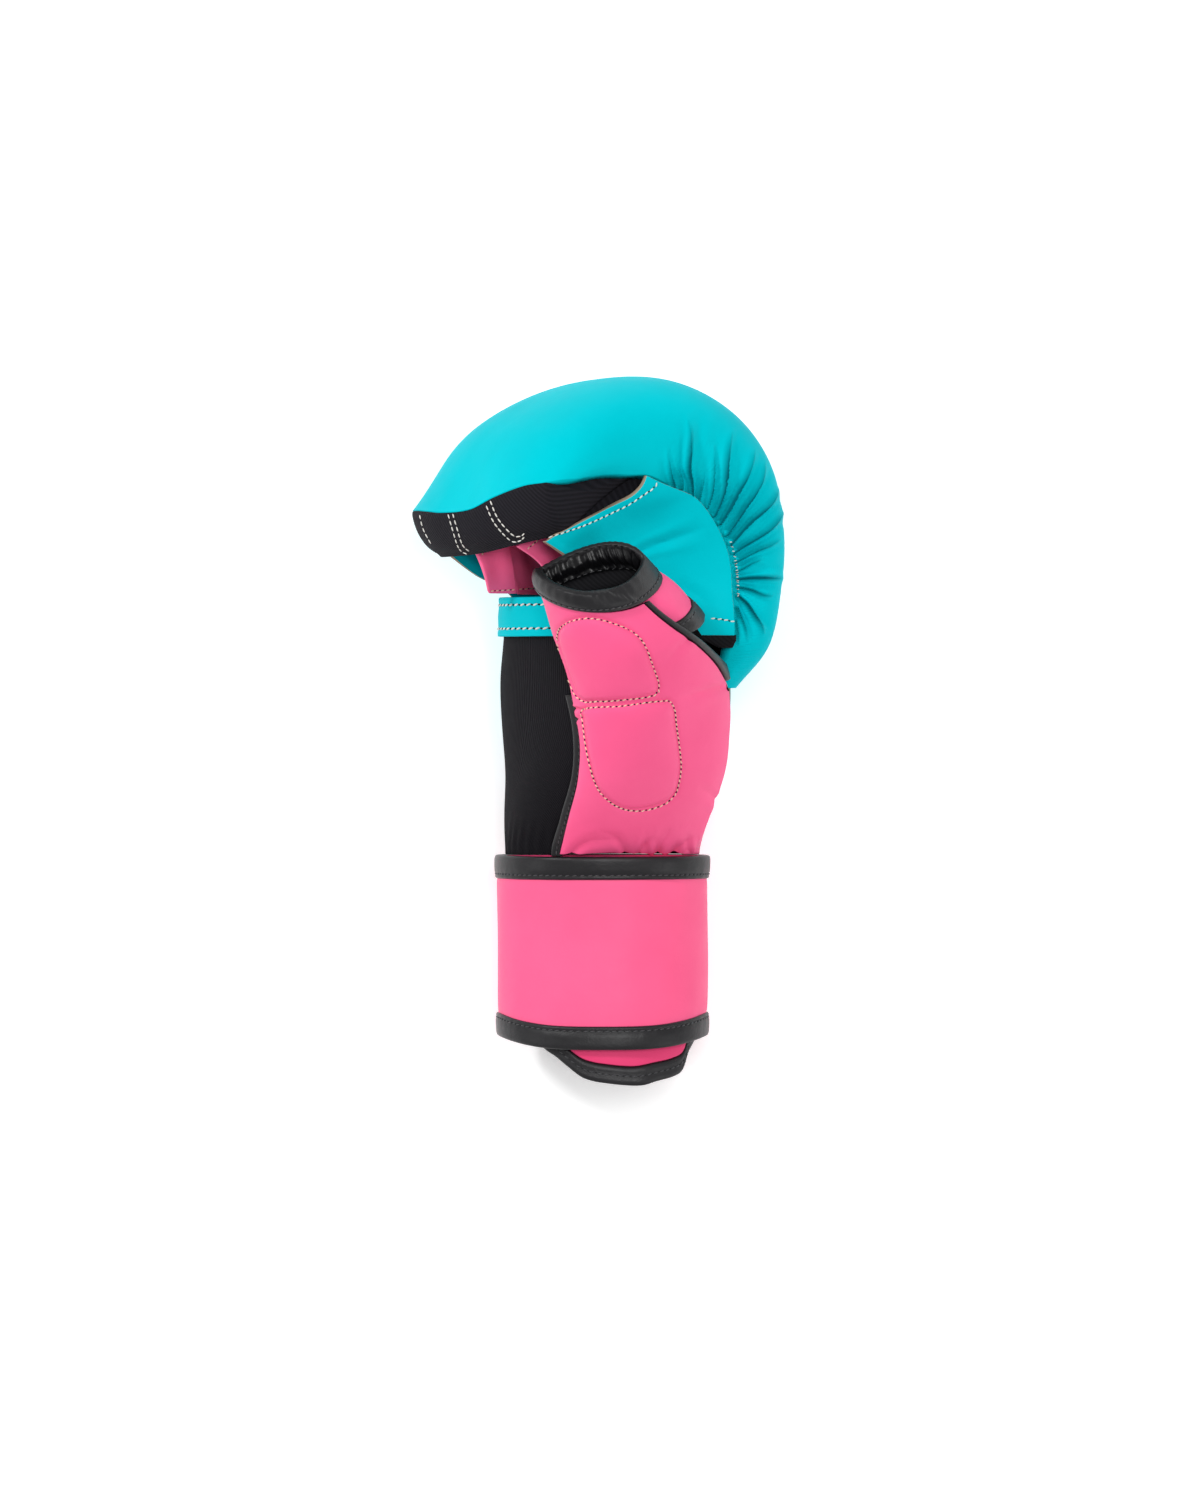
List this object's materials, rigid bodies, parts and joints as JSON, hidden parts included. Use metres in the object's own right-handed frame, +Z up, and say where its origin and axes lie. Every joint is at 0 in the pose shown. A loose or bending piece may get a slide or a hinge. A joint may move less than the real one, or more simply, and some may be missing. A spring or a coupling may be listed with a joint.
{
  "type": "mma sparring glove",
  "caption": "Right-hand sparring glove with hooked knuckle padding, open fingers, a padded thumb sleeve, an elastic palm and a wide wrist strap.",
  "frame": {"origin": "under the middle of the glove, on the surface that it lies on", "axes": "+Y from the cuff to the knuckles, +X towards the back of the hand, +Z up, towards the thumb"},
  "size_m": [0.1412, 0.2694, 0.1522],
  "materials": {
    "turquoise_leather": "satin",
    "pink_leather": "satin",
    "back_leather": "satin",
    "black_binding": "satin",
    "black_twill": "matt",
    "ribbed_elastic": "matt"
  },
  "bodies": {
    "root": {"knuckle_pad": "turquoise_leather", "side_panel_index": "turquoise_leather", "side_panel_little": "turquoise_leather", "back_panel": "back_leather", "palm_band": "turquoise_leather", "thumb_panel": "pink_leather", "thumb_loop": "pink_leather", "finger_strap_1": "pink_leather", "finger_strap_2": "pink_leather", "finger_strap_3": "pink_leather", "wrist_strap": "pink_leather", "strap_end": "pink_leather", "cuff": "pink_leather", "palm_panel": "ribbed_elastic", "finger_lining": "black_twill", "cuff_binding": "black_binding", "strap_binding_lower": "black_binding", "strap_binding_upper": "black_binding", "thumb_tip_binding": "black_binding", "thumb_loop_binding": "black_binding", "thumb_edge_binding_back": "black_binding", "thumb_edge_binding_palm": "black_binding"}
  },
  "joints": []
}
